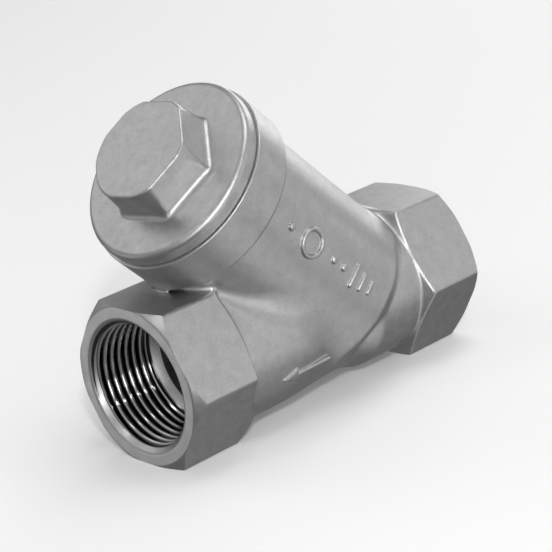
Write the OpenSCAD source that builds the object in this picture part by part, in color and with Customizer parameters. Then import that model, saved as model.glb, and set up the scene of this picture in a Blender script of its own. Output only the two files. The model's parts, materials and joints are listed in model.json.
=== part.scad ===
// Y strainer, size 3/4, threaded ports and a screwed cap.
// The run lies along X and the flow goes towards +X.
// The origin is midway between the port faces, in the plane of the hex flats
// that the strainer rests on. The branch leans up towards the outlet.

/* [Run] */
// Distance between the two port faces
face_to_face = 80; // [78:1:84]
// Width across the flats of each hex end
hex_af = 31.4; // [31:0.1:33]
// Length of each hex end
hex_len = 15; // [14.5:0.1:16]
// Radius of the corner chamfer where it meets the port face
hex_chamfer_r = 15.95; // [15.8:0.05:16.4]
// Axial length of the corner chamfer for each unit of radius
hex_chamfer_slope = 0.75; // [0.5:0.05:1]
// Length of the neck that blends a hex end into the pipe
neck_len = 5.5; // [3:0.5:7]
// Outer radius of the pipe on the outlet side
outlet_pipe_r = 14.85; // [14.5:0.05:15.2]
// Radius of the waist where the outlet pipe meets the barrel
waist_r = 13.9; // [13.6:0.1:14.5]
// Outer radius of the pipe on the inlet side
inlet_pipe_r = 15.2; // [14.8:0.1:15.5]
// Radius of the smooth passage behind each thread
passage_r = 10.7; // [10:0.1:11]

/* [Ports] */
// Inner radius of the G 3/4 pipe thread
port_r = 12.06; // [12.06:0.01:12.1]
// Radius of the countersink at the port face
port_mouth_r = 13.7; // [13.4:0.1:14]
// Depth of the countersink
port_mouth_depth = 1.2; // [0.8:0.1:1.5]
// Depth of the port from its face to its shoulder
port_depth = 15; // [14:0.5:16]

/* [Branch] */
// Angle between the branch and the run
branch_angle = 45; // [45:0.5:46]
// Place on the run where the branch axis crosses it
branch_x = -13.6; // [-14:0.1:-13]
// Outer radius of the barrel
barrel_r = 17.7; // [17.5:0.1:18]
// Inner radius of the barrel
barrel_bore_r = 14.9; // [14.5:0.1:15.1]
// Outer radius of the collar round the cap thread
collar_r = 19.3; // [19:0.1:19.6]
// Length of the collar
collar_len = 8.9; // [8:0.1:9.5]
// Distance from the run axis to the collar's rim, along the branch
rim_at = 51.75; // [51.5:0.05:52]
// Where the barrel starts, along the branch
barrel_from = 1.5; // [1:0.1:2]
// Where the barrel's bore starts, along the branch
bore_from = 5; // [5:0.1:5.5]
// Depth of the seat that the screen stands in
seat_depth = 2; // [1.5:0.1:2.5]
// Thickness of the wall under the seat
seat_wall = 2.5; // [2:0.1:3]
// Radius of the hole through the seat
seat_hole_r = 10.5; // [10:0.1:10.7]

/* [Cap] */
// Outer radius of the cap's flange
flange_r = 18.75; // [18.5:0.05:19]
// Thickness of the flange
flange_len = 3.25; // [3:0.05:3.5]
// Radius of the flange's rounded edge
flange_edge_r = 1.1; // [0.8:0.1:1.4]
// Gap between the flange and the collar's rim when the cap is tight
rim_gap = 0.2; // [0.15:0.05:0.3]
// Width across the flats of the hex boss
boss_af = 19.5; // [19:0.1:20]
// Height of the hex boss
boss_len = 7.7; // [7:0.1:8]
// Turn of the boss's corners about the branch
boss_turn = 37.6; // [0:0.1:60]
// Radius of the boss's corner chamfer at its face
boss_chamfer_r = 10.5; // [10:0.1:11]
// Outer radius of the threaded skirt
skirt_r = 16.15; // [16.1:0.01:16.17]
// Length of the threaded skirt
skirt_len = 8.4; // [8:0.1:8.6]
// Radius of the recess that holds the screen's top ring
recess_r = 13.15; // [13.1:0.05:13.4]
// Metal left between the recess and the flange's face
recess_roof = 3.9; // [3.5:0.1:4.2]
// Radius of the cored pocket under the boss
core_r = 6; // [5:0.5:7]
// Running clearance of the skirt in the collar
thread_clearance = 0.05; // [0.03:0.01:0.08]

/* [Gasket] */
// Inner radius of the gasket
gasket_in_r = 16.35; // [16.3:0.05:16.5]
// Outer radius of the gasket
gasket_out_r = 18.15; // [18:0.05:18.2]
// Depth of the gasket's groove below the collar's rim
groove_depth = 1; // [0.8:0.1:1.2]

/* [Screen] */
// Outer radius of the perforated sleeve
sleeve_r = 12.4; // [12.2:0.1:12.5]
// Thickness of the sleeve's sheet
sheet_t = 0.5; // [0.4:0.05:0.6]
// Thickness of the woven wire lining
mesh_t = 0.3; // [0.2:0.05:0.4]
// Outer radius of the end rings
ring_r = 12.95; // [12.9:0.05:13]
// Length of the end rings
ring_len = 3.2; // [2.5:0.1:4]
// Inner radius of the lip that covers the sleeve's end
ring_lip_r = 11.1; // [11:0.1:11.5]
// Thickness of that lip
ring_lip_t = 0.5; // [0.4:0.1:0.6]

/* [Cast marks] */
// Height of the raised marks
mark_h = 0.5; // [0.3:0.1:0.7]
// Length of the flow arrow
arrow_len = 12.6; // [11:0.1:14]
// Width of the arrow's head
arrow_head_w = 4.4; // [4:0.1:5]
// Width of the arrow's shaft
arrow_shaft_w = 1.6; // [1.2:0.1:2]
// Turn of the arrow below the side of the pipe
arrow_turn = 19; // [10:1:25]

/* [Hidden] */
steel = [0.70, 0.70, 0.70];
bright_steel = [0.80, 0.80, 0.81];
ptfe = [0.93, 0.92, 0.89];
// Facets that stand for a round shape
round_fn = 96;
// Extra length of a cutting shape past the face it opens
cut = 1;
// Play between the screen and the seat, and between the screen and the cap
screen_play = 0.1;
// Gap on each face of the gasket
gasket_play = 0.03;
run_z = hex_af / 2;
half_len = face_to_face / 2;
hex_r = hex_af / sqrt(3);
hex_from = half_len - hex_len;
shoulder_x = half_len - port_depth;
collar_from = rim_at - collar_len;
collar_bore_r = skirt_r + thread_clearance;
collar_bore_from = rim_at - skirt_len - 0.6;
seat_floor = bore_from - seat_depth;
seat_under = seat_floor - seat_wall;
flange_from = rim_at + rim_gap;
flange_to = flange_from + flange_len;
recess_to = flange_to - recess_roof;
core_to = flange_to + boss_len - recess_roof;
boss_r = boss_af / sqrt(3);
groove_floor = rim_at - groove_depth;
groove_r = gasket_out_r + 0.1;
screen_from = seat_floor + screen_play;
screen_to = recess_to - screen_play;
// Fit between the sleeve, its lining and its rings
sheet_fit = 0.02;
arrow_from = 2.6;
arrow_head_len = 4.4;
// Raised size bars and pips on the barrel, counted along the branch
mark_turn = -1;
bar_w = 1.1;
bar_lens = [3, 4, 5];
bar_from = 9.5;
bar_step = 2.7;
badge_at = 29.5;
badge_r = 3.1;
badge_wall = 0.9;
pip_r = 0.75;
pip_places = [19, 22.3, 36.3];

// The run's own frame: children are drawn about Z, which becomes +X.
module on_run(x) {
    translate([x, 0, run_z]) rotate([0, 90, 0]) children();
}

// The branch's frame: children are drawn about Z, which becomes the branch axis.
module on_branch(at) {
    translate([branch_x, 0, run_z]) rotate([0, 90 - branch_angle, 0]) translate([0, 0, at]) children();
}

// Both ends of the run: the second is the first, mirrored.
module both_ends() {
    children();
    mirror([1, 0, 0]) children();
}

module hex_prism(r, h) {
    rotate([0, 0, 30]) cylinder(r = r, h = h, $fn = 6);
}

// Outline of the turned shape that trims a hex end: a cone that rises from the pipe
// at the back, and a chamfer that turns the corners away at the port face.
function hex_turned_outline(pipe_r, len, over_r, back_slope) = [
    [0, 0],
    [pipe_r, 0],
    [over_r, (over_r - pipe_r) * back_slope],
    [over_r, len - (over_r - hex_chamfer_r) * hex_chamfer_slope],
    [hex_chamfer_r, len],
    [0, len]
];

// A hex end with the neck that leads down from its back to the pipe.
module hex_end(pipe_r) {
    end_len = hex_len + neck_len;
    over_r = hex_r + 0.3;
    back_slope = neck_len / (hex_r - pipe_r);
    on_run(half_len - end_len) intersection() {
        hex_prism(hex_r, end_len);
        rotate_extrude($fn = round_fn) polygon(hex_turned_outline(pipe_r, end_len, over_r, back_slope));
    }
}

module outlet_pipe() {
    waist_x = -7;
    straight_x = 11;
    on_run(straight_x) cylinder(r = outlet_pipe_r, h = hex_from - straight_x, $fn = round_fn);
    on_run(waist_x) cylinder(r1 = waist_r, r2 = outlet_pipe_r, h = straight_x - waist_x, $fn = round_fn);
}

module inlet_pipe() {
    end_x = -7;
    on_run(-hex_from) cylinder(r = inlet_pipe_r, h = end_x + hex_from, $fn = round_fn);
}

module branch_shell() {
    on_branch(barrel_from) cylinder(r = barrel_r, h = rim_at - barrel_from, $fn = round_fn);
    on_branch(collar_from) cylinder(r = collar_r, h = collar_len, $fn = round_fn);
}

module arrow_outline() {
    head_from = arrow_len - arrow_head_len;
    polygon([
        [0, -arrow_shaft_w / 2],
        [head_from, -arrow_shaft_w / 2],
        [head_from, -arrow_head_w / 2],
        [arrow_len, 0],
        [head_from, arrow_head_w / 2],
        [head_from, arrow_shaft_w / 2],
        [0, arrow_shaft_w / 2]
    ]);
}

// The arrow stands mark_h proud of the outlet pipe, on the +Y side, and points to the outlet.
module flow_arrow() {
    intersection() {
        on_run(0) cylinder(r = outlet_pipe_r + mark_h, h = hex_from, $fn = round_fn);
        translate([arrow_from, 0, run_z]) rotate([-90 - arrow_turn, 0, 0]) linear_extrude(hex_af) arrow_outline();
    }
}

// Plain raised bars and pips in a line along the barrel's +Y side.
module barrel_marks() {
    intersection() {
        on_branch(0) cylinder(r = barrel_r + mark_h, h = collar_from, $fn = round_fn);
        on_branch(0) rotate([-90, 0, mark_turn]) mirror([0, 1, 0]) linear_extrude(hex_af) {
            for (i = [0 : len(bar_lens) - 1]) {
                translate([-bar_lens[i] / 2, bar_from + i * bar_step]) square([bar_lens[i], bar_w]);
            }
            for (at = pip_places) {
                translate([0, at]) circle(r = pip_r, $fn = 24);
            }
            translate([0, badge_at]) difference() {
                circle(r = badge_r, $fn = 48);
                circle(r = badge_r - badge_wall, $fn = 48);
            }
        }
    }
}

// Thread bore, countersink and the smooth passage of one port.
module port_bore() {
    on_run(shoulder_x) cylinder(r = port_r, h = port_depth + cut, $fn = round_fn);
    on_run(half_len - port_mouth_depth) {
        cylinder(r1 = port_r, r2 = port_mouth_r, h = port_mouth_depth, $fn = round_fn);
        translate([0, 0, port_mouth_depth]) cylinder(r = port_mouth_r, h = cut, $fn = round_fn);
    }
}

// The outlet passage starts on the screen's side of the seat wall.
module outlet_passage() {
    intersection() {
        on_run(branch_x) cylinder(r = passage_r, h = shoulder_x - branch_x + cut, $fn = round_fn);
        on_branch(bore_from) cylinder(r = face_to_face, h = face_to_face, $fn = round_fn);
    }
}

// The inlet passage ends at the underside of the seat wall.
module inlet_passage() {
    intersection() {
        on_run(-shoulder_x - cut) cylinder(r = passage_r, h = shoulder_x + cut, $fn = round_fn);
        on_branch(seat_under - face_to_face) cylinder(r = face_to_face, h = face_to_face, $fn = round_fn);
    }
}

module branch_bore() {
    on_branch(seat_under - 0.01) cylinder(r = seat_hole_r, h = seat_wall + cut, $fn = round_fn);
    on_branch(seat_floor) cylinder(r = ring_r + 0.1, h = seat_depth + cut, $fn = round_fn);
    on_branch(bore_from) cylinder(r = barrel_bore_r, h = rim_at - bore_from, $fn = round_fn);
    on_branch(collar_bore_from) cylinder(r = collar_bore_r, h = rim_at - collar_bore_from + cut, $fn = round_fn);
    on_branch(groove_floor) cylinder(r = groove_r, h = groove_depth + cut, $fn = round_fn);
}

// The one-piece casting: run, hex ends, barrel, collar and the seat wall inside.
module body() {
    color(steel) difference() {
        union() {
            hex_end(outlet_pipe_r);
            mirror([1, 0, 0]) hex_end(inlet_pipe_r);
            outlet_pipe();
            inlet_pipe();
            branch_shell();
            flow_arrow();
            barrel_marks();
        }
        both_ends() port_bore();
        outlet_passage();
        inlet_passage();
        branch_bore();
    }
}

module flange_profile() {
    square([flange_r - flange_edge_r, flange_len]);
    square([flange_r, flange_len - flange_edge_r]);
    translate([flange_r - flange_edge_r, flange_len - flange_edge_r]) circle(r = flange_edge_r, $fn = 48);
}

module boss() {
    chamfer_low_r = boss_chamfer_r + 2 * boss_len;
    intersection() {
        on_branch(flange_from) rotate([0, 0, boss_turn]) cylinder(r = boss_r, h = flange_len + boss_len, $fn = 6);
        on_branch(flange_to) cylinder(r1 = chamfer_low_r, r2 = boss_chamfer_r, h = boss_len, $fn = round_fn);
    }
}

// The screwed cap: round flange, hex boss for a spanner, threaded skirt with a recess inside.
module cap() {
    color(steel) difference() {
        union() {
            on_branch(flange_from) rotate_extrude($fn = round_fn) flange_profile();
            on_branch(flange_from - skirt_len) cylinder(r = skirt_r, h = skirt_len + cut, $fn = round_fn);
            boss();
        }
        on_branch(flange_from - skirt_len - cut) cylinder(r = recess_r, h = recess_to - flange_from + skirt_len + cut, $fn = round_fn);
        on_branch(recess_to - cut) cylinder(r = core_r, h = core_to - recess_to + cut, $fn = round_fn);
    }
}

module tube(r_out, r_in, h) {
    difference() {
        cylinder(r = r_out, h = h, $fn = round_fn);
        translate([0, 0, -cut]) cylinder(r = r_in, h = h + 2 * cut, $fn = round_fn);
    }
}

// Flat PTFE ring, clamped between the flange and the collar's groove.
module cap_gasket() {
    gasket_len = flange_from - groove_floor - 2 * gasket_play;
    color(ptfe) on_branch(groove_floor + gasket_play) tube(gasket_out_r, gasket_in_r, gasket_len);
}

// Rolled perforated sheet that carries the lining.
module screen_sleeve() {
    sleeve_len = screen_to - screen_from - 2 * ring_lip_t;
    color(bright_steel) on_branch(screen_from + ring_lip_t) tube(sleeve_r, sleeve_r - sheet_t, sleeve_len);
}

// Woven wire lining inside the sleeve.
module screen_mesh() {
    mesh_r = sleeve_r - sheet_t - sheet_fit;
    mesh_len = screen_to - screen_from - 2 * ring_lip_t;
    color(bright_steel) on_branch(screen_from + ring_lip_t) tube(mesh_r, mesh_r - mesh_t, mesh_len);
}

// A pressed end ring: a band round the sleeve and a lip over its end.
module end_ring() {
    tube(ring_r, ring_lip_r, ring_lip_t);
    tube(ring_r, sleeve_r + sheet_fit, ring_len);
}

module screen_top_ring() {
    color(bright_steel) on_branch(screen_to) mirror([0, 0, 1]) end_ring();
}

module screen_bottom_ring() {
    color(bright_steel) on_branch(screen_from) end_ring();
}

body();
cap();
cap_gasket();
screen_sleeve();
screen_mesh();
screen_top_ring();
screen_bottom_ring();
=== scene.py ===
"""Looks for the 3/4 y strainer: castings with blended edges, cut threads, gasket and screen."""
import json
import math

import bmesh
import bpy
import numpy as np
import openvdb
from mathutils import Matrix, Vector


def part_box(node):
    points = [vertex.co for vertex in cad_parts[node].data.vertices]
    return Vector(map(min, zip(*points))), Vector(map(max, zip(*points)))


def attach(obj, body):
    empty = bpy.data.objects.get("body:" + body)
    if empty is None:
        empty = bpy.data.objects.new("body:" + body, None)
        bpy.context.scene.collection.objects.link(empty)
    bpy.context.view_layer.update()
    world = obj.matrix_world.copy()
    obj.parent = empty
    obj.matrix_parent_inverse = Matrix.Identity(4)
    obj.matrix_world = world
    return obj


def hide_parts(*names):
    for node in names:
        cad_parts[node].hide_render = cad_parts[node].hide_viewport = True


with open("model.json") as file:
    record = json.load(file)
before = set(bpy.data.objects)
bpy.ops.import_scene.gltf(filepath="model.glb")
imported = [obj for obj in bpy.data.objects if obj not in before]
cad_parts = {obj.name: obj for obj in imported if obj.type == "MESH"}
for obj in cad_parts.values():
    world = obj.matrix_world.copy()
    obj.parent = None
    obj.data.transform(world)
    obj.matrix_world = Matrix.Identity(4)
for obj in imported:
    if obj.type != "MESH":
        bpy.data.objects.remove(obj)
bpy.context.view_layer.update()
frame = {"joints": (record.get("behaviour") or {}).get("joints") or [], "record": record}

# --------------------------------------------------
# Driving dimensions, in millimetres. Places come from the frame's mounts, joints and boxes.
# --------------------------------------------------
MM = 1000.0
MOUNTS = {m["name"]: m for m in frame["record"]["mounts"]}
JOINTS = {j["name"]: j for j in frame["joints"]}
RUN_Z = MOUNTS["outlet_port"]["pos_m"][2] * MM
HALF_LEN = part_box("body")[1].x * MM
HEX_APOTHEM = RUN_Z
PORT_R = MOUNTS["outlet_port"]["dims"]["r_mm"]
BRANCH_X = JOINTS["cap_unscrew"]["pos_m"][0] * MM
BRANCH_DIR = np.array(JOINTS["cap_unscrew"]["axis"], float)
CAP_TURNS = JOINTS["cap_unscrew"]["range_deg"][1] / 360.0
CAP_PITCH = JOINTS["cap_rise"]["range_m"][1] * MM / CAP_TURNS

# Run: the hex ends, the pipe between them and the water way through it
HEX_LEN = 15.0
HEX_EDGE_R = 0.9
SHOULDER_X = 25.0
PIPE_R_OUT = 14.85
PIPE_R_IN = 15.2
PIPE_R_WAIST = PIPE_R_OUT - 1.1
WEB_TILT = math.radians(30)
PASSAGE_R = 10.7
PORT_PITCH = 25.4 / 14
PORT_THREAD_TURN = math.radians(4)

# Branch, in heights along its own axis from where it crosses the run
BARREL_R = 17.7
BARREL_FROM = 1.5
BARREL_BORE_R = 14.9
COLLAR_R = 19.3
RIM_AT = 51.75
COLLAR_FROM = RIM_AT - 8.9
BORE_FROM = 5.0
SEAT_FLOOR = 3.0
SEAT_UNDER = 0.5
SEAT_HOLE_R = 10.5
SEAT_R = 13.05
CAP_THREAD_MINOR_R = 15.65
CAP_THREAD_START = COLLAR_FROM - 0.4

# Cap, on the same axis
FLANGE_FROM = 51.95
FLANGE_TO = 55.2
FLANGE_R = 18.75
BOSS_APOTHEM = 10.1
BOSS_ROUND_R = 10.6
BOSS_MIDDLE = (0.18, -0.3)
BOSS_TO = FLANGE_TO + 7.7
BOSS_TURN = math.radians(37.6)
SKIRT_TO = FLANGE_FROM - 8.4
RECESS_R = 13.15
RECESS_TO = FLANGE_TO - 3.9
CORE_R = 6.0
CORE_TO = BOSS_TO - 3.9

# Screen, between the seat and the cap's recess
SCREEN_FROM = SEAT_FLOOR + 0.1
SCREEN_TO = RECESS_TO - 0.1
SLEEVE_R = 12.4
SHEET_T = 0.5

# Castings are sampled on a grid of voxels, in blocks of BLOCK a side, as far as BAND from the surface
VOXEL = 0.23
BLOCK = 8
BAND = 3 * VOXEL
BODY_TRIANGLES = 120000
CAP_TRIANGLES = 60000


# --------------------------------------------------
# Frames and mesh helpers
# --------------------------------------------------
def run_matrix(flip):
    """Local Z is the run axis, towards the outlet, or towards the inlet if flipped."""
    axis = Vector((-1 if flip else 1, 0, 0))
    return axis_matrix(Vector((0, 0, RUN_Z)), axis)


def branch_matrix():
    """Local Z is the branch axis, counted from where it crosses the run."""
    return axis_matrix(Vector((BRANCH_X, 0, RUN_Z)), Vector(BRANCH_DIR))


def axis_matrix(origin, axis):
    """From millimetres about an axis to metres in the strainer's frame. Local Y stays Y."""
    side = Vector((0, 1, 0))
    across = side.cross(axis).normalized()
    turn = Matrix((across, side, axis)).transposed().to_4x4()
    return Matrix.Scale(1 / MM, 4) @ Matrix.Translation(origin) @ turn


def add_to_scene(name, mesh, materials):
    """An object for a mesh, with its materials."""
    for material in materials:
        mesh.materials.append(material)
    obj = bpy.data.objects.new(name, mesh)
    bpy.context.scene.collection.objects.link(obj)
    return obj


def mesh_object(name, verts, faces, matrix=None, materials=()):
    """A mesh from plain arrays of points in millimetres and faces."""
    mesh = bpy.data.meshes.new(name)
    mesh.from_pydata([tuple(v) for v in verts], [], [tuple(f) for f in faces])
    mesh.transform(matrix if matrix is not None else Matrix.Scale(1 / MM, 4))
    mesh.update()
    return add_to_scene(name, mesh, materials)


def quad_mesh_object(name, verts, quads, materials):
    """Like mesh_object, for a large all-quad mesh held in numpy arrays. It stays in millimetres."""
    mesh = bpy.data.meshes.new(name)
    mesh.vertices.add(len(verts))
    mesh.vertices.foreach_set("co", np.ascontiguousarray(verts, np.float32).ravel())
    mesh.loops.add(quads.size)
    mesh.loops.foreach_set("vertex_index", quads.ravel().astype(np.int32))
    mesh.polygons.add(len(quads))
    mesh.polygons.foreach_set("loop_start", np.arange(0, quads.size, 4, dtype=np.int32))
    mesh.update(calc_edges=True)
    return add_to_scene(name, mesh, materials)


def ring_quads(rings, sides, close_rings=False):
    """Quads between successive rings of points, each ring closed on itself."""
    quads = []
    last = rings if close_rings else rings - 1
    for i in range(last):
        for j in range(sides):
            a = i * sides + j
            b = i * sides + (j + 1) % sides
            c = ((i + 1) % rings) * sides + (j + 1) % sides
            d = ((i + 1) % rings) * sides + j
            quads.append((a, b, c, d))
    return quads


def lathe(name, outline, matrix, sides, materials, second=()):
    """A closed solid of revolution. outline is a closed loop of (radius, height), counter-clockwise.
    A stretch of the loop on the axis is left out: its two ends become the poles. The stretches that
    start at the points numbered in second take the second material."""
    angles = np.linspace(0, 2 * math.pi, sides, endpoint=False)
    verts, rings = [], []
    for radius, height in outline:
        if radius < 1e-6:
            rings.append([len(verts)])
            verts.append((0, 0, height))
        else:
            rings.append(list(range(len(verts), len(verts) + sides)))
            verts.extend((radius * math.cos(a), radius * math.sin(a), height) for a in angles)
    faces, slots = [], []
    for n, (low, high) in enumerate(zip(rings, rings[1:] + rings[:1])):
        if len(low) == 1 and len(high) == 1:
            continue
        for j in range(sides):
            k = (j + 1) % sides
            if len(low) == 1:
                faces.append((low[0], high[k], high[j]))
            elif len(high) == 1:
                faces.append((low[j], low[k], high[0]))
            else:
                faces.append((low[j], low[k], high[k], high[j]))
        slots += [int(n in second)] * (len(faces) - len(slots))
    obj = mesh_object(name, verts, faces, matrix, materials)
    obj.data.polygons.foreach_set("material_index", slots)
    return obj


def arc(cx, cy, radius, start_deg, end_deg, steps=6):
    """Points on an arc in an outline."""
    return [
        (cx + radius * math.cos(math.radians(a)), cy + radius * math.sin(math.radians(a)))
        for a in np.linspace(start_deg, end_deg, steps + 1)
    ]


def threaded_rod(name, groove, pitch, start, end, fade_from, fade_to, matrix, sides, material):
    """A closed solid whose surface is a right-hand thread. groove lists (height, radius) over one pitch.
    Between the heights fade_from and fade_to the thread runs out to its smallest radius."""
    plain_r = min(radius for _, radius in groove)
    rows_a_turn = len(groove)
    rows = int((end - start) / pitch) * rows_a_turn
    verts = []
    for k in range(rows + 1):
        turn, step = divmod(k, rows_a_turn)
        height, radius = groove[step]
        for j in range(sides):
            h = start + pitch * (turn + j / sides) + height
            fade = min(1, max(0, (h - fade_from) / (fade_to - fade_from)))
            r = plain_r + (radius - plain_r) * fade * fade * (3 - 2 * fade)
            angle = 2 * math.pi * j / sides
            verts.append((r * math.cos(angle), r * math.sin(angle), h))
    faces = []
    for k in range(rows):
        for j in range(sides - 1):
            a = k * sides + j
            faces.append((a, a + 1, a + sides + 1, a + sides))
    for k in range(rows - rows_a_turn):
        a = k * sides + sides - 1
        b = (k + rows_a_turn) * sides
        faces.append((a, b, b + sides, a + sides))
    low_tip = len(verts)
    high_tip = low_tip + 1
    verts += [(0, 0, start - pitch), (0, 0, end + pitch)]
    low_step = [k * sides for k in range(rows_a_turn, 0, -1)]
    low_edge = list(range(sides)) + low_step
    high_step = [k * sides + sides - 1 for k in range(rows - 1, rows - rows_a_turn - 1, -1)]
    high_edge = [rows * sides + j for j in range(sides)] + high_step
    faces += [(low_tip, b, a) for a, b in zip(low_edge, low_edge[1:] + low_edge[:1])]
    faces += [(high_tip, a, b) for a, b in zip(high_edge, high_edge[1:] + high_edge[:1])]
    return mesh_object(name, verts, faces, matrix, [material])


def recalculate_normals(obj):
    """Turns every face the same way out."""
    bm = bmesh.new()
    bm.from_mesh(obj.data)
    bmesh.ops.recalc_face_normals(bm, faces=bm.faces)
    bm.to_mesh(obj.data)
    bm.free()


def apply_modifiers(obj):
    """Makes the modifiers' result the object's own mesh."""
    graph = bpy.context.evaluated_depsgraph_get()
    mesh = bpy.data.meshes.new_from_object(obj.evaluated_get(graph))
    obj.modifiers.clear()
    old = obj.data
    obj.data = mesh
    bpy.data.meshes.remove(old)


def combine(obj, other, operation):
    """Cuts other out of obj, or joins it on, and removes other."""
    step = obj.modifiers.new("combine", "BOOLEAN")
    step.object = other
    step.operation = operation
    step.solver = "MANIFOLD"
    apply_modifiers(obj)
    bpy.data.objects.remove(other)


def thin_out(obj, triangles):
    """Decimates to about so many triangles."""
    obj.data.calc_loop_triangles()
    now = len(obj.data.loop_triangles)
    if now > triangles:
        step = obj.modifiers.new("thin", "DECIMATE")
        step.ratio = triangles / now
        apply_modifiers(obj)


def smooth(obj, angle_deg=35):
    """Smooth shading with crisp edges past an angle."""
    obj.data.polygons.foreach_set("use_smooth", [True] * len(obj.data.polygons))
    obj.data.set_sharp_from_angle(angle=math.radians(angle_deg))


# --------------------------------------------------
# Distance fields: negative inside, in millimetres, about the run axis
# --------------------------------------------------
def join_round(a, b, r):
    """Union with a fillet of radius r."""
    u = np.maximum(r - a, 0)
    v = np.maximum(r - b, 0)
    return np.maximum(r, np.minimum(a, b)) - np.hypot(u, v)


def trim_round(a, b, r):
    """Intersection with a rounded edge of radius r."""
    u = np.maximum(r + a, 0)
    v = np.maximum(r + b, 0)
    return np.minimum(-r, np.maximum(a, b)) + np.hypot(u, v)


def hexagon(p, q, apothem, r):
    """A hexagon with flats at plus and minus q and corners rounded to radius r."""
    kx, ky, kz = -math.sqrt(3) / 2, 0.5, 1 / math.sqrt(3)
    inner = apothem - r
    p = np.abs(p)
    q = np.abs(q)
    over = 2 * np.minimum(kx * p + ky * q, 0)
    p = p - over * kx
    q = q - over * ky
    p = p - np.clip(p, -kz * inner, kz * inner)
    q = q - inner
    return np.hypot(p, q) * np.sign(q) - r


def ramp(value, low, high):
    """0 below low, 1 above high, smooth between."""
    t = np.clip((value - low) / (high - low), 0, 1)
    return t * t * (3 - 2 * t)


def hex_end_field(x, y, z, rho, edge_r):
    """One hex end of the run, for x counted towards its port, with a cone behind its corners. It is
    left long for the turned cuts at its face."""
    spare = 1.5
    cone_x, cone_rise = 24.2, 2.2
    prism = hexagon(y, z, HEX_APOTHEM, HEX_EDGE_R)
    end = np.maximum(prism, x - HALF_LEN - spare)
    back = (rho - HEX_APOTHEM - cone_rise * (x - cone_x)) / math.hypot(1, cone_rise)
    return trim_round(end, back, edge_r)


def outlet_neck_field(x, y, z, rho):
    """Under the outlet the hex's two lower corners run down to the pipe along a slope."""
    slope_from, slope_to = 19.4, 26.0
    rise, lean = 0.586, 0.86
    side, bottom = 0.34, 0.85
    sunk_above = 2.8
    below = ramp(-z / np.maximum(rho, 1), side, bottom)
    slope = (rho - PIPE_R_OUT - (x - slope_from) * rise + sunk_above * (1 - below)) * lean
    prism = hexagon(y, z, HEX_APOTHEM, HEX_EDGE_R)
    return np.maximum(np.maximum(prism, slope), x - slope_to)


def web_field(x, y, z, pipe_r):
    """Flat webs that leave the outlet pipe at a tangent and run up to the branch behind the hex."""
    start, end, below_top = 4.0, 25.0, 0.5
    c, s = math.cos(WEB_TILT), math.sin(WEB_TILT)
    y = np.abs(y)
    web = np.maximum(y * c + z * s - pipe_r, y * s - z * c)
    return np.maximum(np.maximum(web, z - HEX_APOTHEM + below_top), np.maximum(x - end, start - x))


def pipe_narrowing(x):
    """How far the pipe has narrowed past the inlet's hex, from 0 to 1."""
    return ramp(x, -13.5, -7.5)


def pipe_widening(x):
    """How far the pipe has widened again towards the outlet, from 0 to 1."""
    return ramp(x, -6.0, 12.0)


def run_field(x, y, z):
    """Both hex ends and the pipe between them, with its webs."""
    outlet_edge_r, inlet_edge_r, fillet = 0.2, 0.5, 0.5
    rho = np.hypot(y, z)
    pipe_to = HALF_LEN - HEX_LEN - 0.4
    waist_r = PIPE_R_IN + (PIPE_R_WAIST - PIPE_R_IN) * pipe_narrowing(x)
    pipe_r = waist_r + (PIPE_R_OUT - PIPE_R_WAIST) * pipe_widening(x)
    pipe = np.maximum(rho - pipe_r, np.abs(x) - pipe_to)
    pipe = np.minimum(pipe, web_field(x, y, z, pipe_r))
    outlet_hex = np.minimum(hex_end_field(x, y, z, rho, outlet_edge_r), outlet_neck_field(x, y, z, rho))
    inlet_hex = hex_end_field(-x, y, z, rho, inlet_edge_r)
    return join_round(join_round(pipe, outlet_hex, fillet), inlet_hex, fillet)


def branch_coordinates(x, y, z):
    """across, towards the outlet's underside; side; along the branch."""
    c, s = BRANCH_DIR[2], BRANCH_DIR[0]
    across = (x - BRANCH_X) * c - z * s
    along = (x - BRANCH_X) * s + z * c
    return across, y, along


def branch_field(x, y, z):
    """The barrel, a little wider at its foot, and the collar, left long for the turned cut at its face."""
    spare = 1.0
    taper, taper_to = 0.25, 38.0
    foot_r, collar_edge_r, neck_r = 2.8, 0.7, 0.25
    across, side, along = branch_coordinates(x, y, z)
    rho = np.hypot(across, side)
    barrel_r = BARREL_R + taper * (1 - ramp(along, 0.0, taper_to))
    barrel = trim_round(rho - barrel_r, BARREL_FROM - along, foot_r)
    barrel = np.maximum(barrel, along - RIM_AT - spare)
    collar = trim_round(rho - COLLAR_R, COLLAR_FROM - along, collar_edge_r)
    collar = np.maximum(collar, along - RIM_AT - spare)
    return join_round(barrel, collar, neck_r)


def outline_field(p, q, points):
    """Distance to a closed polygon in the plane, negative inside."""
    best = np.full(p.shape, 1e9, np.float32)
    inside = np.zeros(p.shape, bool)
    for (ax, ay), (bx, by) in zip(points, points[1:] + points[:1]):
        ex, ey = bx - ax, by - ay
        t = np.clip(((p - ax) * ex + (q - ay) * ey) / (ex * ex + ey * ey), 0, 1)
        best = np.minimum(best, np.hypot(p - ax - ex * t, q - ay - ey * t))
        crosses = (ay > q) != (by > q)
        if ey:
            inside ^= crosses & (p < ax + ex * (q - ay) / ey)
    return np.where(inside, -best, best)


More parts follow.
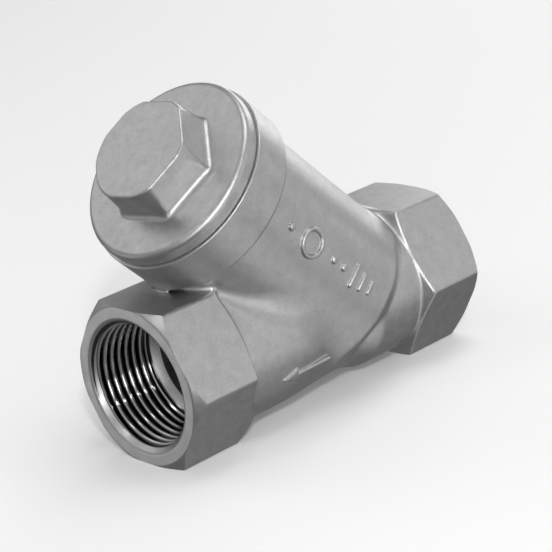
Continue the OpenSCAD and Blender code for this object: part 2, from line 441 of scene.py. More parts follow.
def arrow_field(x, y, z):
    """The flow arrow, raised on the outlet pipe's +Y side, a little below the middle."""
    tail, length, head = 2.6, 12.6, 3.4
    head_width, shaft_width, turn_deg = 2.6, 0.7, 19.0
    height, sunk_at_tail = 0.55, 0.25
    corner_r, top_edge_r = 0.15, 0.45
    around = (np.arctan2(-z, y) - math.radians(turn_deg)) * PIPE_R_OUT
    tip = tail + length
    neck = tip - head
    half, wide = shaft_width / 2, head_width / 2
    points = [
        (tail, -half), (neck, -half), (neck, -wide), (tip, 0), (neck, wide), (neck, half), (tail, half),
    ]
    flat = outline_field(x, around, points) - corner_r
    top = np.hypot(y, z) - PIPE_R_OUT - height + sunk_at_tail * (1 - pipe_widening(x))
    return trim_round(flat, top, top_edge_r)


def marks_field(x, y, z):
    """Plain raised bars, pips and a ring in a line along the barrel's +Y side."""
    bar_lengths, bars_from, bar_gap = (3.0, 4.0, 5.0), 10.05, 2.7
    bar_r, bar_end = 0.48, 0.45
    pips_at, pip_r = (19.0, 22.3, 36.3), 0.75
    ring_at, ring_r, ring_half_width = 29.5, 2.65, 0.42
    height, above_middle, top_edge_r = 0.8, 0.3, 0.42
    across, side, along = branch_coordinates(x, y, z)
    around = np.arctan2(across, side) * BARREL_R + above_middle
    flat = np.full(x.shape, 1e9, np.float32)
    for i, length in enumerate(bar_lengths):
        middle = bars_from + bar_gap * i
        past_end = np.maximum(np.abs(around) - (length / 2 - bar_end), 0)
        flat = np.minimum(flat, np.hypot(past_end, along - middle) - bar_r)
    for middle in pips_at:
        flat = np.minimum(flat, np.hypot(around, along - middle) - pip_r)
    ring = np.abs(np.hypot(around, along - ring_at) - ring_r) - ring_half_width
    flat = np.minimum(flat, ring)
    top = np.hypot(across, side) - BARREL_R - height
    return trim_round(flat, top, top_edge_r)


def cavity_field(x, y, z):
    """The cast water ways: inlet, seat hole, screen chamber and outlet."""
    past_rim, hole_depth = 2, 6
    floor_r, hole_edge_r = 0.6, 0.5
    rho = np.hypot(y, z)
    across, side, along = branch_coordinates(x, y, z)
    rho_b = np.hypot(across, side)
    outlet = np.maximum(np.maximum(rho - PASSAGE_R, BORE_FROM - along), x - HALF_LEN)
    chamber = trim_round(rho_b - BARREL_BORE_R, BORE_FROM - along, floor_r)
    chamber = np.maximum(chamber, along - RIM_AT - past_rim)
    inlet = np.maximum(np.maximum(rho - PASSAGE_R, along - SEAT_UNDER), -HALF_LEN - x)
    hole = np.maximum(np.maximum(rho_b - SEAT_HOLE_R, along - BORE_FROM), -along - hole_depth)
    inlet = join_round(inlet, np.maximum(hole, SEAT_UNDER - 2 - along), hole_edge_r)
    return np.minimum(join_round(outlet, chamber, floor_r), inlet)


def body_field(x, y, z):
    """The body's casting. The fillet between run and branch is widest halfway up the branch."""
    foot_r, swell, pinch = 2.4, 2.0, 2.2
    raised_r, mouth_r = 0.2, 0.5
    run = run_field(x, y, z)
    branch = branch_field(x, y, z)
    _, _, along = branch_coordinates(x, y, z)
    fillet = foot_r + swell * ramp(along, 6.0, 24.0) - pinch * ramp(along, 26.0, 38.0)
    whole = join_round(run, branch, fillet)
    whole = join_round(whole, arrow_field(x, y, z), raised_r)
    whole = join_round(whole, marks_field(x, y, z), raised_r)
    return trim_round(whole, -cavity_field(x, y, z), mouth_r)


def cap_field(x, y, z):
    """The cap's flange and hex boss about its own axis. z is along the branch."""
    flange_edge_r, face_edge_r = 1.15, 0.12
    boss_corner_r, cone_edge_r, boss_edge_r, boss_foot_r = 0.4, 0.2, 0.4, 1.2
    cone_rise = 0.1
    rho = np.hypot(x, y)
    flange = trim_round(rho - FLANGE_R, z - FLANGE_TO, flange_edge_r)
    flange = trim_round(flange, FLANGE_FROM - z, face_edge_r)
    c, s = math.cos(BOSS_TURN), math.sin(BOSS_TURN)
    p, q = x - BOSS_MIDDLE[0], y - BOSS_MIDDLE[1]
    prism = hexagon(p * c + q * s, q * c - p * s, BOSS_APOTHEM, boss_corner_r)
    cone = rho - BOSS_ROUND_R - (BOSS_TO - z) * cone_rise
    boss = trim_round(trim_round(prism, cone, cone_edge_r), z - BOSS_TO, boss_edge_r)
    boss = np.maximum(boss, FLANGE_FROM + 0.5 - z)
    return join_round(flange, boss, boss_foot_r)


def sample_field(field, low, shape):
    """A field on a grid from low, worked out only in the blocks that its surface may cross."""
    half_diagonal = 0.87
    blocks_at_once = 1500
    counts = [-(-n // BLOCK) for n in shape]
    step = BLOCK * VOXEL
    middles = [low[i] + step * (np.arange(n, dtype=np.float32) + 0.5) for i, n in enumerate(counts)]
    coarse = np.empty(counts, np.float32)
    for i, x in enumerate(middles[0]):
        plane = np.broadcast_arrays(np.full((1, 1), x, np.float32), middles[1][:, None], middles[2][None])
        coarse[i] = field(*plane)
    values = np.clip(coarse, -BAND, BAND).repeat(BLOCK, 0).repeat(BLOCK, 1).repeat(BLOCK, 2)
    blocks = np.argwhere(np.abs(coarse) < step * half_diagonal + BAND)
    offsets = np.arange(BLOCK)
    view = values.reshape(counts[0], BLOCK, counts[1], BLOCK, counts[2], BLOCK)
    for first in range(0, len(blocks), blocks_at_once):
        part = blocks[first:first + blocks_at_once]
        axes = [low[i] + VOXEL * (part[:, i, None] * BLOCK + offsets) for i in range(3)]
        x = axes[0][:, :, None, None].astype(np.float32)
        y = axes[1][:, None, :, None].astype(np.float32)
        z = axes[2][:, None, None, :].astype(np.float32)
        x, y, z = (np.ascontiguousarray(v) for v in np.broadcast_arrays(x, y, z))
        view[part[:, 0], :, part[:, 1], :, part[:, 2], :] = field(x, y, z)
    return np.clip(values, -BAND, BAND)


def gradient(field, points):
    """Unit normals of a field at points, and the field there."""
    reach = 0.02
    x, y, z = points.T.copy()
    slope = np.empty_like(points)
    for i, (dx, dy, dz) in enumerate(np.eye(3) * reach):
        slope[:, i] = field(x + dx, y + dy, z + dz) - field(x - dx, y - dy, z - dz)
    length = np.maximum(np.linalg.norm(slope, axis=1, keepdims=True), 1e-9)
    return slope / length, field(x, y, z)


def get_points(mesh):
    """The mesh's points as one array."""
    points = np.empty(len(mesh.vertices) * 3, np.float32)
    mesh.vertices.foreach_get("co", points)
    return points.reshape(-1, 3).astype(np.float64)


def mesh_field(name, field, low, high, triangles, materials):
    """The surface where a field is zero, in the field's own millimetres, with its points drawn onto it.
    low and high are the corners of the box that is sampled."""
    shape = [int((b - a) / VOXEL) + 1 for a, b in zip(low, high)]
    values = sample_field(field, low, shape)
    grid = openvdb.FloatGrid(BAND)
    grid.copyFromArray(values)
    grid.transform = openvdb.createLinearTransform(voxelSize=VOXEL)
    points, _, quads = grid.convertToPolygons(isovalue=0.0, adaptivity=0.0)
    obj = quad_mesh_object(name, points + np.array(low), quads, materials)
    thin_out(obj, triangles)
    points = get_points(obj.data)
    for _ in range(2):
        normals, depth = gradient(field, points)
        points -= normals * np.clip(depth, -VOXEL / 2, VOXEL / 2)[:, None]
    obj.data.vertices.foreach_set("co", points.astype(np.float32).ravel())
    obj.data.update()
    return obj


def shade_from_field(obj, field):
    """Exact smooth normals on the cast faces, slot 0, and crisp machined edges elsewhere."""
    near, same_way = 0.05, 0.5
    mesh = obj.data
    smooth(obj)
    normals = np.empty(len(mesh.loops) * 3, np.float32)
    mesh.corner_normals.foreach_get("vector", normals)
    normals = normals.reshape(-1, 3)
    vertex = np.empty(len(mesh.loops), np.int32)
    mesh.loops.foreach_get("vertex_index", vertex)
    slots = np.empty(len(mesh.polygons), np.int32)
    mesh.polygons.foreach_get("material_index", slots)
    counts = np.empty(len(mesh.polygons), np.int32)
    mesh.polygons.foreach_get("loop_total", counts)
    cast = np.repeat(slots == 0, counts)
    exact, depth = gradient(field, get_points(mesh))
    exact, depth = exact[vertex], depth[vertex]
    use = cast & (np.abs(depth) < near) & ((exact * normals).sum(1) > same_way)
    normals[use] = exact[use]
    mesh.normals_split_custom_set(normals)


# --------------------------------------------------
# Materials
# --------------------------------------------------
def new_material(name, base, metallic, roughness):
    """A new material, its node tree and its shader."""
    material = bpy.data.materials.new(name)
    material.use_nodes = True
    shader = material.node_tree.nodes["Principled BSDF"]
    shader.inputs["Base Color"].default_value = (*base, 1)
    shader.inputs["Metallic"].default_value = metallic
    shader.inputs["Roughness"].default_value = roughness
    return material, material.node_tree, shader


def noise(tree, scale, detail=3.0, roughness=0.55, stretch=None):
    """Noise in the object's own metres: scale is features per metre."""
    where = tree.nodes.new("ShaderNodeTexCoord")
    texture = tree.nodes.new("ShaderNodeTexNoise")
    texture.inputs["Scale"].default_value = scale
    texture.inputs["Detail"].default_value = detail
    texture.inputs["Roughness"].default_value = roughness
    if stretch:
        mapping = tree.nodes.new("ShaderNodeMapping")
        mapping.inputs["Scale"].default_value = stretch
        tree.links.new(where.outputs["Object"], mapping.inputs["Vector"])
        tree.links.new(mapping.outputs["Vector"], texture.inputs["Vector"])
    else:
        tree.links.new(where.outputs["Object"], texture.inputs["Vector"])
    return texture.outputs["Fac"]


def spread(tree, fac, low, high):
    """Maps a 0.3 to 0.7 noise to low and high."""
    node = tree.nodes.new("ShaderNodeMapRange")
    node.inputs["From Min"].default_value = 0.3
    node.inputs["From Max"].default_value = 0.7
    node.inputs["To Min"].default_value = low
    node.inputs["To Max"].default_value = high
    tree.links.new(fac, node.inputs["Value"])
    return node.outputs["Result"]


def blend_colours(tree, fac, dark, light):
    """From one colour, where fac is 0, to the other."""
    node = tree.nodes.new("ShaderNodeMix")
    node.data_type = "RGBA"
    node.inputs[6].default_value = (*dark, 1)
    node.inputs[7].default_value = (*light, 1)
    tree.links.new(fac, node.inputs["Factor"])
    return node.outputs[2]


def average(tree, first, second):
    """The mean of two values."""
    node = tree.nodes.new("ShaderNodeMix")
    node.inputs["Factor"].default_value = 0.5
    tree.links.new(first, node.inputs[2])
    tree.links.new(second, node.inputs[3])
    return node.outputs[0]


def vector_math(tree, operation, first, second, output="Vector"):
    """One vector operation. second is a socket or a constant."""
    node = tree.nodes.new("ShaderNodeVectorMath")
    node.operation = operation
    tree.links.new(first, node.inputs[0])
    if isinstance(second, bpy.types.NodeSocket):
        tree.links.new(second, node.inputs[1])
    else:
        node.inputs[1].default_value = second
    return node.outputs[output]


def bump(tree, height, strength, distance, below=None):
    """A bump of so many metres, over the bump below it."""
    node = tree.nodes.new("ShaderNodeBump")
    node.inputs["Strength"].default_value = strength
    node.inputs["Distance"].default_value = distance
    tree.links.new(height, node.inputs["Height"])
    if below is not None:
        tree.links.new(below, node.inputs["Normal"])
    return node.outputs["Normal"]


def cast_steel():
    """Bead-blasted investment casting: matt grey, fine peened grain over a faint ripple."""
    material, tree, shader = new_material("cast_steel", (0.5, 0.5, 0.495), 1.0, 0.5)
    patches = noise(tree, 420, 4, 0.7)
    speckle = noise(tree, 3400, 2, 0.8)
    grain = noise(tree, 5000, 2, 0.7)
    ripple = noise(tree, 800, 3)
    mottle = spread(tree, average(tree, patches, speckle), 0, 1)
    tone = blend_colours(tree, mottle, (0.36, 0.36, 0.36), (0.51, 0.51, 0.51))
    tree.links.new(tone, shader.inputs["Base Color"])
    tree.links.new(spread(tree, ripple, 0.35, 0.45), shader.inputs["Roughness"])
    low = bump(tree, ripple, 0.15, 0.0001)
    tree.links.new(bump(tree, grain, 0.5, 0.00006, low), shader.inputs["Normal"])
    return material


def turned_steel(name, origin, axis, tone, low, high, painted_shade_from=None):
    """Turned steel with the fine lines of the tool running round an axis. Its roughness is from low to
    high. Past the radius given by the last argument, in millimetres, a thread's flanks and root are
    painted darker: painted shade in the thread's valleys."""
    lines_a_metre = 9000
    painted_shade_edge, painted_shade_darkness = 0.25, 0.12
    material, tree, shader = new_material(name, (tone, tone, tone), 1.0, low)
    where = tree.nodes.new("ShaderNodeTexCoord")
    offset = vector_math(tree, "SUBTRACT", where.outputs["Object"], origin)
    along = vector_math(tree, "DOT_PRODUCT", offset, axis, "Value")
    centre = tree.nodes.new("ShaderNodeVectorMath")
    centre.operation = "SCALE"
    centre.inputs[0].default_value = axis
    tree.links.new(along, centre.inputs["Scale"])
    radius = vector_math(tree, "DISTANCE", offset, centre.outputs["Vector"], "Value")
    lines_at = tree.nodes.new("ShaderNodeCombineXYZ")
    tree.links.new(along, lines_at.inputs["X"])
    tree.links.new(radius, lines_at.inputs["Y"])
    lines = tree.nodes.new("ShaderNodeTexNoise")
    lines.inputs["Scale"].default_value = lines_a_metre
    lines.inputs["Detail"].default_value = 2
    tree.links.new(lines_at.outputs["Vector"], lines.inputs["Vector"])
    # painted shade: the base colour darkens with depth into the thread's flanks and root
    if painted_shade_from:
        painted_shade = tree.nodes.new("ShaderNodeMapRange")
        painted_shade.inputs["From Min"].default_value = painted_shade_from / MM
        painted_shade.inputs["From Max"].default_value = (painted_shade_from + painted_shade_edge) / MM
        tree.links.new(radius, painted_shade.inputs["Value"])
        dark = tone * painted_shade_darkness
        colour = blend_colours(tree, painted_shade.outputs["Result"], (tone, tone, tone), (dark, dark, dark))
        tree.links.new(colour, shader.inputs["Base Color"])
    smudge = noise(tree, 420, 2)
    tree.links.new(spread(tree, smudge, low, high), shader.inputs["Roughness"])
    tree.links.new(bump(tree, lines.outputs["Fac"], 0.35, 0.00002), shader.inputs["Normal"])
    return material


def sheet_steel():
    """Rolled stainless sheet with fine scratches."""
    material, tree, shader = new_material("sheet_steel", (0.62, 0.62, 0.62), 1.0, 0.28)
    scratches = noise(tree, 1500, 3, 0.6, (0.4, 8.0, 0.4))
    tree.links.new(spread(tree, scratches, 0.2, 0.36), shader.inputs["Roughness"])
    tree.links.new(bump(tree, scratches, 0.2, 0.00002), shader.inputs["Normal"])
    return material


def wire_steel():
    """Drawn wire, a little tarnished."""
    material, tree, shader = new_material("wire_steel", (0.55, 0.55, 0.55), 1.0, 0.32)
    tarnish = noise(tree, 900, 2)
    colour = blend_colours(tree, spread(tree, tarnish, 0, 1), (0.48, 0.475, 0.46), (0.6, 0.6, 0.6))
    tree.links.new(colour, shader.inputs["Base Color"])
    return material


def ptfe():
    """Off-white PTFE, a little mottled."""
    material, tree, shader = new_material("ptfe", (0.86, 0.85, 0.82), 0.0, 0.48)
    mottle = noise(tree, 900, 3)
    colour = blend_colours(tree, spread(tree, mottle, 0, 1), (0.80, 0.79, 0.76), (0.88, 0.87, 0.84))
    tree.links.new(colour, shader.inputs["Base Color"])
    tree.links.new(bump(tree, mottle, 0.2, 0.00004), shader.inputs["Normal"])
    return material


CAST = cast_steel()
RUN_ORIGIN = (0, 0, RUN_Z / MM)
RUN_DIR = (1, 0, 0)
BRANCH_ORIGIN = (BRANCH_X / MM, 0, RUN_Z / MM)
# the port threads get painted shade in their flanks and roots, past 0.22 mm outside the port's radius
TURNED_RUN = turned_steel("turned_along_run", RUN_ORIGIN, RUN_DIR, 0.62, 0.08, 0.14, PORT_R + 0.22)
FACED_RUN = turned_steel("faced_along_run", RUN_ORIGIN, RUN_DIR, 0.46, 0.32, 0.42)
TURNED_BRANCH = turned_steel("turned_along_branch", BRANCH_ORIGIN, tuple(BRANCH_DIR), 0.62, 0.14, 0.27)
FACED_BRANCH = turned_steel("faced_along_branch", BRANCH_ORIGIN, tuple(BRANCH_DIR), 0.46, 0.4, 0.5)
SHEET = sheet_steel()
WIRE = wire_steel()
PTFE = ptfe()


# --------------------------------------------------
# Body
# --------------------------------------------------
def port_cutter(flip):
    """All that is turned at one port but its thread: face, chamfer, countersink, relief and shoulder."""
    mouth_r = 13.7
    relief_r = 12.7
    inside_r = PORT_R - 0.5
    chamfer_r = 15.95
    clear_r = 19.5
    drilled_r = PASSAGE_R - 0.2
    # the points close to the face's edges keep its shading flat
    outline = [
        (0, SHOULDER_X - 0.8), (drilled_r, SHOULDER_X - 0.8), (relief_r - 0.2, SHOULDER_X + 0.3),
        (relief_r, SHOULDER_X + 0.5), (relief_r, SHOULDER_X + 1.2), (inside_r, SHOULDER_X + 1.8),
        (inside_r, HALF_LEN - 1.7), (PORT_R + 0.5, HALF_LEN - 1.1), (mouth_r - 0.5, HALF_LEN - 0.34),
        (mouth_r - 0.2, HALF_LEN - 0.1), (mouth_r + 0.1, HALF_LEN), (mouth_r + 0.25, HALF_LEN),
        (chamfer_r - 0.3, HALF_LEN), (chamfer_r - 0.15, HALF_LEN), (chamfer_r + 0.15, HALF_LEN - 0.1),
        (chamfer_r + 0.3, HALF_LEN - 0.2), (clear_r, HALF_LEN - 0.75 * (clear_r - chamfer_r)),
        (clear_r, HALF_LEN + 2), (0, HALF_LEN + 2),
    ]
    faced = (1, *range(7, 16))
    return lathe("port_cutter", outline, run_matrix(flip), 192, [TURNED_RUN, FACED_RUN], faced)


def pipe_thread(pitch, minor_r):
    """One pitch of a 55 degree pipe thread with rounded crests and roots, from crest to crest."""
    half_flank = math.radians(27.5)
    rounding = 0.1373 * pitch
    depth = 0.6403 * pitch
    arc_to = math.pi / 2 - half_flank
    crest = [
        (rounding * math.sin(a), minor_r + rounding - rounding * math.cos(a))
        for a in np.linspace(0, arc_to, 4)
    ]
    root = [
        (pitch / 2 - rounding * math.sin(a), minor_r + depth - rounding + rounding * math.cos(a))
        for a in np.linspace(arc_to, 0, 4)
    ]
    half = crest + root
    return half + [(pitch - h, r) for h, r in half[-2:0:-1]]


def port_thread_cutter(flip):
    """The G 3/4 thread, 14 turns to the inch, running out at the shoulder's relief."""
    start = SHOULDER_X + 0.6 - PORT_PITCH / 2
    place = run_matrix(flip) @ Matrix.Rotation(PORT_THREAD_TURN, 4, "Z")
    groove = pipe_thread(PORT_PITCH, PORT_R)
    return threaded_rod(
        "port_thread", groove, PORT_PITCH, start, HALF_LEN + 2,
        SHOULDER_X + 0.8, SHOULDER_X + 2.6, place, 120, TURNED_RUN,
    )


def collar_cutter():
    """The collar's face, gasket groove and the relief behind its thread."""
    inside_r = CAP_THREAD_MINOR_R - 0.5
    relief_r = 16.6
    groove_r = 18.25
    groove_floor = RIM_AT - 1.0
    rim = RIM_AT + 0.1
    chamfer_to = rim - 0.18
    outline = [
        (0, COLLAR_FROM), (relief_r - 1.4, COLLAR_FROM), (relief_r, COLLAR_FROM + 0.6),
        (relief_r, COLLAR_FROM + 1.4), (inside_r, COLLAR_FROM + 2.0), (inside_r, groove_floor - 1.2),
        (CAP_THREAD_MINOR_R + 0.9, groove_floor), (groove_r, groove_floor), (groove_r, rim),
        (COLLAR_R - 0.08, rim), (COLLAR_R + 0.1, chamfer_to), (COLLAR_R + 1, chamfer_to),
        (COLLAR_R + 1, rim + 2), (0, rim + 2),
    ]
    faced = (7, 8, 9, 10)
    return lathe("collar_cutter", outline, branch_matrix(), 192, [TURNED_BRANCH, FACED_BRANCH], faced)


def metric_thread(pitch, minor_r, major_r, crest):
    """One pitch of a 60 degree thread, from the start of its crest, which is crest wide."""
    run = (major_r - minor_r) * math.tan(math.radians(30))
    half = crest / 2
    return [(-half, minor_r), (half, minor_r), (half + run, major_r), (pitch - half - run, major_r)]


def collar_thread_cutter():
    """The thread that the cap screws into."""
    groove = metric_thread(CAP_PITCH, CAP_THREAD_MINOR_R, 16.45, 0.35)
    return threaded_rod(
        "collar_thread", groove, CAP_PITCH, CAP_THREAD_START, RIM_AT + CAP_PITCH,
        COLLAR_FROM, COLLAR_FROM + 1, branch_matrix(), 96, TURNED_BRANCH,
    )


def seat_cutter():
    """The counterbore in the seat wall that the screen stands in."""
    chamfer = 0.4
    outline = [
        (0, SEAT_FLOOR), (SEAT_R, SEAT_FLOOR), (SEAT_R, BORE_FROM),
        (SEAT_R + chamfer, BORE_FROM + chamfer), (0, BORE_FROM + chamfer),
    ]
    return lathe("seat_cutter", outline, branch_matrix(), 128, [TURNED_BRANCH])


def build_body():
    """The casting, then everything that is machined into it."""
    collar_top = 53.0
    low = (-HALF_LEN - 2, -COLLAR_R - 1, -HEX_APOTHEM - 1)
    high = (HALF_LEN + 2, COLLAR_R + 1, collar_top)
    lift = Matrix.Scale(1 / MM, 4) @ Matrix.Translation((0, 0, RUN_Z))
    materials = [CAST, TURNED_RUN, FACED_RUN, TURNED_BRANCH, FACED_BRANCH]
    body = mesh_field("body_casting", body_field, low, high, BODY_TRIANGLES, materials)
    body.data.transform(lift)
    cutters = [port_cutter(flip) for flip in (False, True)]
    cutters += [port_thread_cutter(flip) for flip in (False, True)]
    cutters += [collar_cutter(), seat_cutter(), collar_thread_cutter()]
    for cutter in cutters:
        combine(body, cutter, "DIFFERENCE")
    body.data.transform(lift.inverted())
    shade_from_field(body, body_field)
    body.data.transform(lift)
    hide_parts("body")
    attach(body, "casting")


# --------------------------------------------------
# Cap and gasket
# --------------------------------------------------
def cap_thread():
    """The skirt's solid threaded rod, in step with the collar's thread and 0.15 mm inside it."""
    ridge = metric_thread(CAP_PITCH, CAP_THREAD_MINOR_R - 0.15, 16.3, 0.53)
    return threaded_rod(
        "cap_thread", ridge, CAP_PITCH, CAP_THREAD_START, FLANGE_FROM + CAP_PITCH,
        COLLAR_FROM - 2, COLLAR_FROM - 1, branch_matrix(), 96, TURNED_BRANCH,
    )


def skirt_trimmer():
    """Trims the threaded rod: lead-in at its end, relief under the flange, and nothing past the flange."""
    relief_r, clear_r = 15.2, 16.6
    into_flange = FLANGE_FROM + 0.4
    outline = [
        (0, SKIRT_TO), (relief_r - 0.1, SKIRT_TO), (clear_r, SKIRT_TO + 0.9), (clear_r, RIM_AT - 1.6),
        (relief_r, RIM_AT - 0.9), (relief_r, into_flange), (0, into_flange),
    ]
    return lathe("skirt_trimmer", outline, branch_matrix(), 192, [TURNED_BRANCH])


def recess_cutter():
    """The recess for the screen's end, with its chamfer, and the core pocket in the boss."""
    below_skirt = SKIRT_TO - 2
    outline = [
        (0, below_skirt), (RECESS_R + 2.4, below_skirt), (RECESS_R, SKIRT_TO + 0.4), (RECESS_R, RECESS_TO),
        (CORE_R, RECESS_TO), (CORE_R - 0.4, CORE_TO - 0.6), (CORE_R - 1.0, CORE_TO), (0, CORE_TO),
    ]
    return lathe("recess_cutter", outline, branch_matrix(), 192, [TURNED_BRANCH])


def build_cap():
    """The flange and boss as one casting, with the threaded skirt joined on and the recess cut out."""
    reach = FLANGE_R + 1
    low = (-reach, -reach, FLANGE_FROM - 1)
    high = (reach, reach, BOSS_TO + 1)
    cap = mesh_field("cap_casting", cap_field, low, high, CAP_TRIANGLES, [CAST, TURNED_BRANCH])
    cap.data.transform(branch_matrix())
    skirt = cap_thread()
    combine(skirt, skirt_trimmer(), "INTERSECT")
    combine(cap, skirt, "UNION")
    combine(cap, recess_cutter(), "DIFFERENCE")
    cap.data.transform(branch_matrix().inverted())
    shade_from_field(cap, cap_field)
    cap.data.transform(branch_matrix())
    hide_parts("cap")
    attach(cap, "cap")


def build_gasket():
    """A flat ring with soft edges, 0.03 mm short of the groove's floor and of the flange."""
    low, high = RIM_AT - 0.97, FLANGE_FROM - 0.03
    inner, outer, edge = 16.35, 18.15, 0.2
    outline = (
        arc(outer - edge, low + edge, edge, -90, 0) + arc(outer - edge, high - edge, edge, 0, 90)
        + arc(inner + edge, high - edge, edge, 90, 180) + arc(inner + edge, low + edge, edge, 180, 270)
    )
    gasket = lathe("gasket_ring", outline, branch_matrix(), 160, [PTFE])
    smooth(gasket)
    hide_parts("cap_gasket")
    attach(gasket, "gasket")


# --------------------------------------------------
# Screen
# --------------------------------------------------
def end_ring_outline(at, way):
    """A pressed channel ring: band outside the sleeve, rounded over its end. way is +1 from the seat
    and -1 from the cap."""
    outer, inner, lip = 12.95, SLEEVE_R + 0.02, 11.1
    length, thick = 3.2, 0.5
    bend, lip_edge, band_edge = 0.45, 0.12, 0.1
    points = (
        [(lip, thick), (lip, lip_edge), (lip + lip_edge, 0)]
        + arc(outer - bend, bend, bend, -90, 0)
        + [(outer, length - band_edge), (outer - band_edge, length), (inner + 0.05, length)]
        + [(inner, length - band_edge), (inner, thick)]
    )
    points = [(r, at + way * h) for r, h in points]
    return points if way > 0 else points[::-1]


def build_ring(name, node, at, way):
    """One end ring of the screen."""
    ring = lathe(name, end_ring_outline(at, way), branch_matrix(), 128, [SHEET])
    smooth(ring)
    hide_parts(node)
    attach(ring, "screen")


def perforated_tube(start, length, mid_r):
    """Points and faces of a sheet rolled to a tube, with staggered rows of round holes between two
    plain margins. The cells at angle 0 are left plain, where the sheet is lapped and welded."""
    columns, rows, sides = 24, 15, 16
    margin, hole_r = 2.6, 1.05
    width = 2 * math.pi / columns
    height = (length - 2 * margin) / rows
    # the corners of a cell, in half widths and half heights, and the point of the hole that faces each
    corners = ((1, -1), (1, 1), (0, 1), (-1, 1), (-1, -1), (0, -1))
    facing = (14, 2, 4, 6, 10, 12)
    steps_a_column = 64
    verts, index, faces = [], {}, []

    def add_vertex(angle, h):
        verts.append((mid_r * math.cos(angle), mid_r * math.sin(angle), h))
        return len(verts) - 1

    def vertex(angle, h):
        """The one vertex that cells share at a corner."""
        key = (round(angle / width * steps_a_column) % (columns * steps_a_column), round(h, 4))
        if key not in index:
            index[key] = add_vertex(angle, h)
        return index[key]

    for row in range(rows):
        low = start + margin + row * height
        middle = low + height / 2
        shift = 0.5 * (row % 2)
        for column in range(columns):
            centre = (column + shift) * width
            ring = [vertex(centre + x * width / 2, middle + y * height / 2) for x, y in corners]
            if column == 0 or (shift and column == columns - 1):
                faces.append(ring)
                continue
            turns = [2 * math.pi * k / sides for k in range(sides)]
            hole = [
                add_vertex(centre + hole_r * math.cos(turn) / mid_r, middle + hole_r * math.sin(turn))
                for turn in turns
            ]
            for n, here in enumerate(facing):
                after = (n + 1) % len(facing)
                steps = (facing[after] - here) % sides
                fan = [hole[(here + i) % sides] for i in range(steps + 1)]
                faces.append([ring[n], ring[after]] + fan[::-1])
    for low, high in ((start, start + margin), (start + margin + rows * height, start + length)):
        for half in range(2 * columns):
            a, b = half * width / 2, (half + 1) * width / 2
            faces.append([vertex(a, low), vertex(b, low), vertex(b, high), vertex(a, high)])
    return verts, faces


def build_sleeve():
    """The perforated sheet at its real thickness, 0.5 mm short of the screen's two ends."""
    start = SCREEN_FROM + 0.5
    length = SCREEN_TO - SCREEN_FROM - 1.0
    verts, faces = perforated_tube(start, length, SLEEVE_R - SHEET_T / 2)
    sleeve = mesh_object("screen_sleeve_sheet", verts, faces, branch_matrix(), [SHEET])
    recalculate_normals(sleeve)
    step = sleeve.modifiers.new("thickness", "SOLIDIFY")
    step.thickness = SHEET_T / MM
    step.offset = 0
    apply_modifiers(sleeve)
    smooth(sleeve, 40)
    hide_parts("screen_sleeve")
    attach(sleeve, "screen")


def wire(path, radius, sides, closed):
    """Points and faces of a round wire along a path about the Z axis, its ends capped unless closed."""
    count = len(path)
    ahead = np.roll(path, -1, 0) - np.roll(path, 1, 0)
    if not closed:
        ahead[0] = path[1] - path[0]
        ahead[-1] = path[-1] - path[-2]
    ahead /= np.linalg.norm(ahead, axis=1, keepdims=True)
    radial = path * (1, 1, 0)
    radial /= np.linalg.norm(radial, axis=1, keepdims=True)
    out = np.cross(np.cross(ahead, radial), ahead)
    out /= np.linalg.norm(out, axis=1, keepdims=True)
    side = np.cross(ahead, out)
    angles = np.linspace(0, 2 * math.pi, sides, endpoint=False)
    ring = out[:, None] * np.cos(angles)[None, :, None] + side[:, None] * np.sin(angles)[None, :, None]
    points = (path[:, None] + radius * ring).reshape(-1, 3)
    faces = ring_quads(count, sides, closed)
    if not closed:
        faces.append(tuple(reversed(range(sides))))
        faces.append(tuple(range((count - 1) * sides, count * sides)))
    return points, faces


def build_mesh_lining():
    """Plain-woven wire cloth inside the sleeve: straight wires along it and closed wires round it."""
    mid_r, wire_r, lift = 11.72, 0.085, 0.075
    low, high = SCREEN_FROM + 0.6, SCREEN_TO - 0.6
    around, rings, sides = 66, 42, 5
    verts, faces = [], []

    def add(points, quads):
        base = sum(len(v) for v in verts)
        verts.append(points)
        faces.extend(tuple(base + i for i in q) for q in quads)

    def over_or_under(count, wire_number):
        """Which side of the cloth each crossing of a wire is on: 1 outside, -1 inside."""
        return np.where((np.arange(count) // 2 + wire_number) % 2 == 0, 1.0, -1.0)

    count = 2 * rings + 1
    h = np.linspace(low, high, count)
    for i in range(around):
        angle = 2 * math.pi * i / around
        r = mid_r + lift * over_or_under(count, i) * (np.arange(count) % 2)
        add(*wire(np.c_[r * math.cos(angle), r * math.sin(angle), h], wire_r, sides, False))
    count = 2 * around
    a = np.arange(count) * math.pi / around
    step = (high - low) / rings
    for j in range(rings):
        r = mid_r - lift * over_or_under(count, j) * (np.arange(count) % 2 == 0)
        height = np.full(count, low + (j + 0.5) * step)
        add(*wire(np.c_[r * np.cos(a), r * np.sin(a), height], wire_r, sides, True))
    lining = mesh_object("screen_wire_cloth", np.concatenate(verts), faces, branch_matrix(), [WIRE])
    smooth(lining, 80)
    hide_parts("screen_mesh")
    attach(lining, "screen")


# --------------------------------------------------
# Camera, light and floor
# --------------------------------------------------
def build_camera():
    """A long lens from above the outlet, on the arrow's side."""
    data = bpy.data.cameras.new("camera")
    data.sensor_width = 36
    data.lens = 134.05
    data.clip_start = 0.01
    data.clip_end = 20
    camera = bpy.data.objects.new("camera", data)
    bpy.context.scene.collection.objects.link(camera)
    forward = Vector((-0.63493, -0.69613, -0.33507))
    right = Vector((-0.70534, 0.69927, -0.11623))
    up = right.cross(forward)
    place = Vector((260.09, 283.99, 145.98 + RUN_Z)) / MM
    turn = Matrix((right, up, -forward)).transposed().to_4x4()
    camera.matrix_world = Matrix.Translation(place) @ turn
    bpy.context.scene.camera = camera


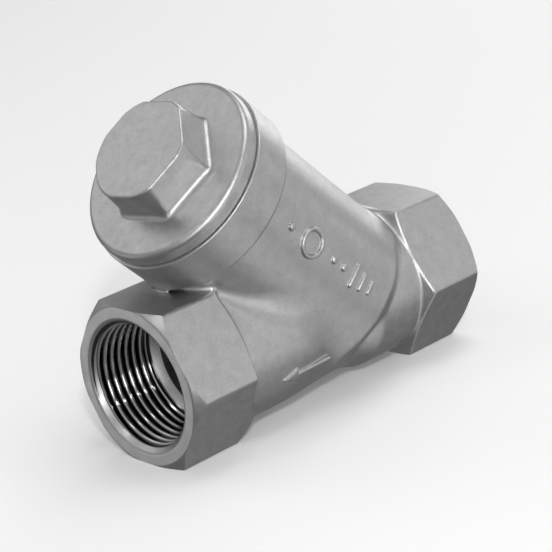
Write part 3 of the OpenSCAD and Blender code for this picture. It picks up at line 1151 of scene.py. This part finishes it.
def area_light(name, place, target, size, power):
    """A rectangular light at a place, facing the target."""
    data = bpy.data.lights.new(name, "AREA")
    data.shape = "RECTANGLE"
    data.size, data.size_y = size
    data.energy = power
    light = bpy.data.objects.new(name, data)
    light.location = place
    light.rotation_euler = (target - place).to_track_quat("-Z", "Y").to_euler()
    bpy.context.scene.collection.objects.link(light)


def build_world():
    """A pale tent over a darker lower half, so that the metal's undersides stay dark."""
    dark, pale, edge = 0.19, 0.42, 0.25
    world = bpy.data.worlds.new("studio")
    world.use_nodes = True
    tree = world.node_tree
    tree.nodes["Background"].inputs["Color"].default_value = (1, 1, 1, 1)
    where = tree.nodes.new("ShaderNodeTexCoord")
    parts = tree.nodes.new("ShaderNodeSeparateXYZ")
    step = tree.nodes.new("ShaderNodeMapRange")
    step.interpolation_type = "SMOOTHSTEP"
    step.inputs["From Min"].default_value = -edge
    step.inputs["From Max"].default_value = edge
    step.inputs["To Min"].default_value = dark
    step.inputs["To Max"].default_value = pale
    tree.links.new(where.outputs["Generated"], parts.inputs[0])
    tree.links.new(parts.outputs["Z"], step.inputs["Value"])
    tree.links.new(step.outputs["Result"], tree.nodes["Background"].inputs["Strength"])
    bpy.context.scene.world = world


# Each light's name, direction from the strainer, size in metres and power in watts
LIGHTS = (
    ("overhead", (-0.2, 0.1, 1.0), (0.5, 0.5), 2.6),
    ("front", (0.75, 0.6, 0.1), (0.5, 0.3), 2.8),
    ("key", (0.49, 0.84, 0.22), (0.15, 0.15), 0.4),
    ("rim", (-0.9, -0.35, 0.25), (0.6, 0.4), 2.0),
    ("right", (-0.635, 0.64, 0.44), (0.5, 0.5), 0.5),
    ("left", (0.335, -0.70, 0.635), (0.5, 0.5), 0.65),
    ("glint_on_chamfer", (0.79, -0.16, 0.59), (0.12, 0.12), 0.35),
    ("glint_in_port", (0.5, 0.66, 0.56), (0.06, 0.06), 2.5),
    ("low_front", (0.1, 0.9, -0.35), (0.5, 0.4), 1.1),
    ("side", (-0.57, 0.78, -0.25), (0.4, 0.4), 0.5),
    ("web", (-0.38, 0.87, 0.17), (0.4, 0.4), 0.45),
    ("far_side", (-0.92, 0.32, -0.08), (0.4, 0.4), 0.4),
    ("table", (-0.2, 0.55, -0.8), (0.6, 0.5), 0.65),
    ("low_left", (0.65, -0.70, -0.25), (0.4, 0.4), 0.4),
)
# In metres from the strainer's middle
LIGHT_DISTANCE = 0.9
# In millimetres
FLOOR_REACH = 3000


def build_stage():
    """A pale floor that only the camera sees, and soft lights all round."""
    signs = ((-1, -1), (1, -1), (1, 1), (-1, 1))
    corners = [(x * FLOOR_REACH, y * FLOOR_REACH, 0) for x, y in signs]
    floor = mesh_object("floor", corners, [(0, 1, 2, 3)])
    material, _, _ = new_material("floor_white", (0.86, 0.86, 0.86), 0.0, 0.9)
    floor.data.materials.append(material)
    floor.visible_glossy = False
    floor.visible_diffuse = False
    floor.visible_shadow = False
    bpy.context.scene.view_settings.view_transform = "Standard"
    middle = Vector((0, 0, 0.025))
    for name, way, size, power in LIGHTS:
        place = middle + LIGHT_DISTANCE * Vector(way).normalized()
        area_light(name, place, middle, size, power)


build_camera()
build_world()
build_stage()
build_body()
build_cap()
build_gasket()
build_ring("screen_seat_ring", "screen_bottom_ring", SCREEN_FROM, 1)
build_ring("screen_cap_ring", "screen_top_ring", SCREEN_TO, -1)
build_sleeve()
build_mesh_lining()
